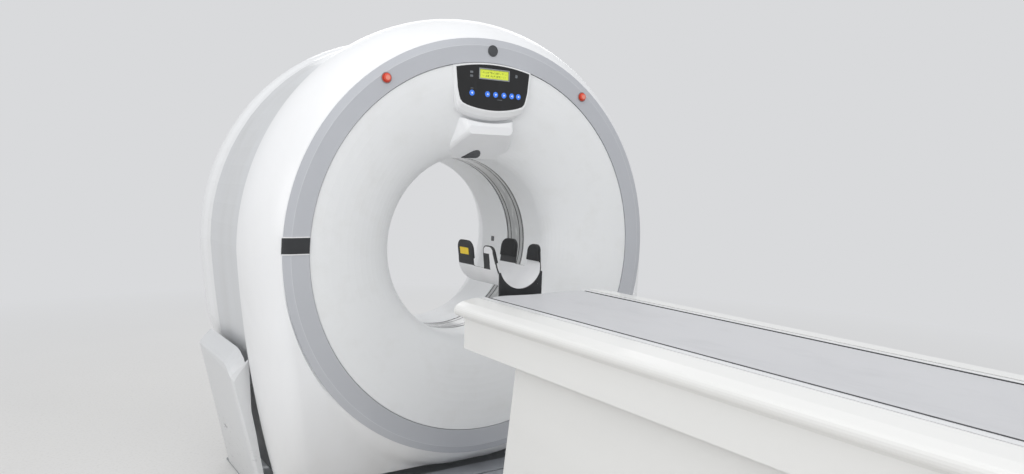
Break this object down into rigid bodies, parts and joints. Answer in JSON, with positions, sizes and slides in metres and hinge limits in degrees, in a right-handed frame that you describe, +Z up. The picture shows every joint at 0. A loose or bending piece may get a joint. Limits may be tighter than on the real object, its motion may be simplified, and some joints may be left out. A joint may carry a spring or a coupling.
{
  "type": "computed tomography scanner",
  "caption": "Medical body scanner: tilting ring gantry between floor pedestals, with a lifting patient table, sliding cradle, mattress and head holder.",
  "frame": {"origin": "on the floor below the centre of the scan plane, at the underside of the gantry's floor plate", "axes": "+Z up, +X to the right for someone at the foot of the table, +Y from the table into the bore"},
  "size_m": [1.776, 3.474, 1.782],
  "materials": {
    "white_cover": "satin painted moulding",
    "grey_shell": "satin painted moulding",
    "grey_trim": "satin moulding",
    "pedestal_white": "satin",
    "plinth_blue": "matte",
    "black_rubber": "matte",
    "clear_window": "clear",
    "panel_black": "gloss",
    "display_green": "lit display",
    "dark_window": "gloss",
    "bezel_grey": "matte",
    "stop_red": "gloss",
    "button_blue": "gloss",
    "frame_steel": "matte paint",
    "bright_steel": "ground",
    "motor_dark": "painted casting",
    "brass_rings": "polished tracks",
    "brush_brown": "matte",
    "tube_grey": "satin",
    "tank_blue": "satin",
    "board_green": "satin",
    "table_white": "satin",
    "cradle_grey": "satin laminate",
    "mattress_grey": "vinyl cover",
    "holder_white": "satin",
    "pad_black": "matte foam"
  },
  "bodies": {
    "floor_base": {"base_plate": "frame_steel", "left_post": "frame_steel", "right_post": "frame_steel", "left_pedestal_cover": "pedestal_white", "right_pedestal_cover": "pedestal_white", "floor_plinth": "plinth_blue", "plinth_seal": "black_rubber", "docking_cover": "plinth_blue", "table_base": "frame_steel", "base_skirt": "table_white"},
    "tilt_frame": {"main_frame": "frame_steel", "trunnions": "bright_steel", "tilt_gearmotor": "motor_dark", "front_cover": "white_cover", "trim_ring": "grey_trim", "funnel": "white_cover", "side_shell": "grey_shell", "rear_cover": "white_cover", "rear_funnel": "white_cover", "bore_liner": "white_cover", "scan_window": "clear_window", "window_seals": "black_rubber", "panel_housing": "white_cover", "control_panel": "panel_black", "display": "display_green", "laser_hood": "white_cover", "laser_window": "dark_window", "stop_bezels": "bezel_grey", "bearing_outer": "bright_steel", "brush_block": "brush_brown", "drive_motor": "motor_dark", "drive_belt": "black_rubber"},
    "rotor": {"rotor_plate": "frame_steel", "bearing_inner": "bright_steel", "slip_ring": "brass_rings", "xray_tube": "tube_grey", "collimator": "tube_grey", "detector": "tube_grey", "hv_tank": "tank_blue", "tube_cooler": "tube_grey", "rotor_electronics": "board_green", "counterweight": "motor_dark"},
    "motor_pulley": {"motor_pulley": "bright_steel"},
    "left_stop": {"left_stop_button": "stop_red"},
    "right_stop": {"right_stop_button": "stop_red"},
    "table_lift": {"lift_frame": "frame_steel", "middle_skirt": "table_white"},
    "middle_stage": {"pillar_middle": "bright_steel"},
    "table_slide": {"slide_frame": "frame_steel", "table_shell": "table_white"},
    "cradle": {"cradle": "cradle_grey", "mattress": "mattress_grey", "head_holder": "holder_white", "head_pads": "pad_black"},
    "button_1": {"panel_button_1": "button_blue"},
    "button_2": {"panel_button_2": "button_blue"},
    "button_3": {"panel_button_3": "button_blue"},
    "button_4": {"panel_button_4": "button_blue"},
    "button_5": {"panel_button_5": "button_blue"},
    "button_6": {"panel_button_6": "button_blue"}
  },
  "joints": [
    {"name": "gantry_tilt", "type": "hinge", "parent": "floor_base", "child": "tilt_frame", "pos_m": [0, -0.02, 0.43], "axis": [1, 0, 0], "range_deg": [-30, 30]},
    {"name": "rotor_spin", "type": "hinge", "parent": "tilt_frame", "child": "rotor", "pos_m": [0, 0.103, 0.91], "axis": [0, 1, 0], "continuous": true},
    {"name": "motor_spin", "type": "hinge", "parent": "tilt_frame", "child": "motor_pulley", "pos_m": [0.57243, 0.145, 0.5523], "axis": [0, 1, 0], "continuous": true},
    {"name": "left_stop_press", "type": "slide", "parent": "tilt_frame", "child": "left_stop", "axis": [0, 1, 0], "range_m": [0, 0.004], "stiffness_N_per_m": 2500, "springref_m": -0.001},
    {"name": "right_stop_press", "type": "slide", "parent": "tilt_frame", "child": "right_stop", "axis": [0, 1, 0], "range_m": [0, 0.004], "stiffness_N_per_m": 2500, "springref_m": -0.001},
    {"name": "table_height", "type": "slide", "parent": "floor_base", "child": "table_lift", "axis": [0, 0, 1], "range_m": [-0.27, 0.02]},
    {"name": "middle_height", "type": "slide", "parent": "floor_base", "child": "middle_stage", "axis": [0, 0, 1], "range_m": [-0.135, 0.01]},
    {"name": "table_advance", "type": "slide", "parent": "table_lift", "child": "table_slide", "axis": [0, 1, 0], "range_m": [-0.18, 0.21]},
    {"name": "cradle_travel", "type": "slide", "parent": "table_slide", "child": "cradle", "axis": [0, 1, 0], "range_m": [0, 1.35]},
    {"name": "button_1_press", "type": "slide", "parent": "tilt_frame", "child": "button_1", "axis": [0, 1, 0], "range_m": [0, 0.001], "stiffness_N_per_m": 1500, "springref_m": -0.0006},
    {"name": "button_2_press", "type": "slide", "parent": "tilt_frame", "child": "button_2", "axis": [0, 1, 0], "range_m": [0, 0.001], "stiffness_N_per_m": 1500, "springref_m": -0.0006},
    {"name": "button_3_press", "type": "slide", "parent": "tilt_frame", "child": "button_3", "axis": [0, 1, 0], "range_m": [0, 0.001], "stiffness_N_per_m": 1500, "springref_m": -0.0006},
    {"name": "button_4_press", "type": "slide", "parent": "tilt_frame", "child": "button_4", "axis": [0, 1, 0], "range_m": [0, 0.001], "stiffness_N_per_m": 1500, "springref_m": -0.0006},
    {"name": "button_5_press", "type": "slide", "parent": "tilt_frame", "child": "button_5", "axis": [0, 1, 0], "range_m": [0, 0.001], "stiffness_N_per_m": 1500, "springref_m": -0.0006},
    {"name": "button_6_press", "type": "slide", "parent": "tilt_frame", "child": "button_6", "axis": [0, 1, 0], "range_m": [0, 0.001], "stiffness_N_per_m": 1500, "springref_m": -0.0006}
  ],
  "couplings": [
    {"joint": "motor_spin", "follows": "rotor_spin", "ratio": 12},
    {"joint": "middle_height", "follows": "table_height", "ratio": 0.5}
  ]
}
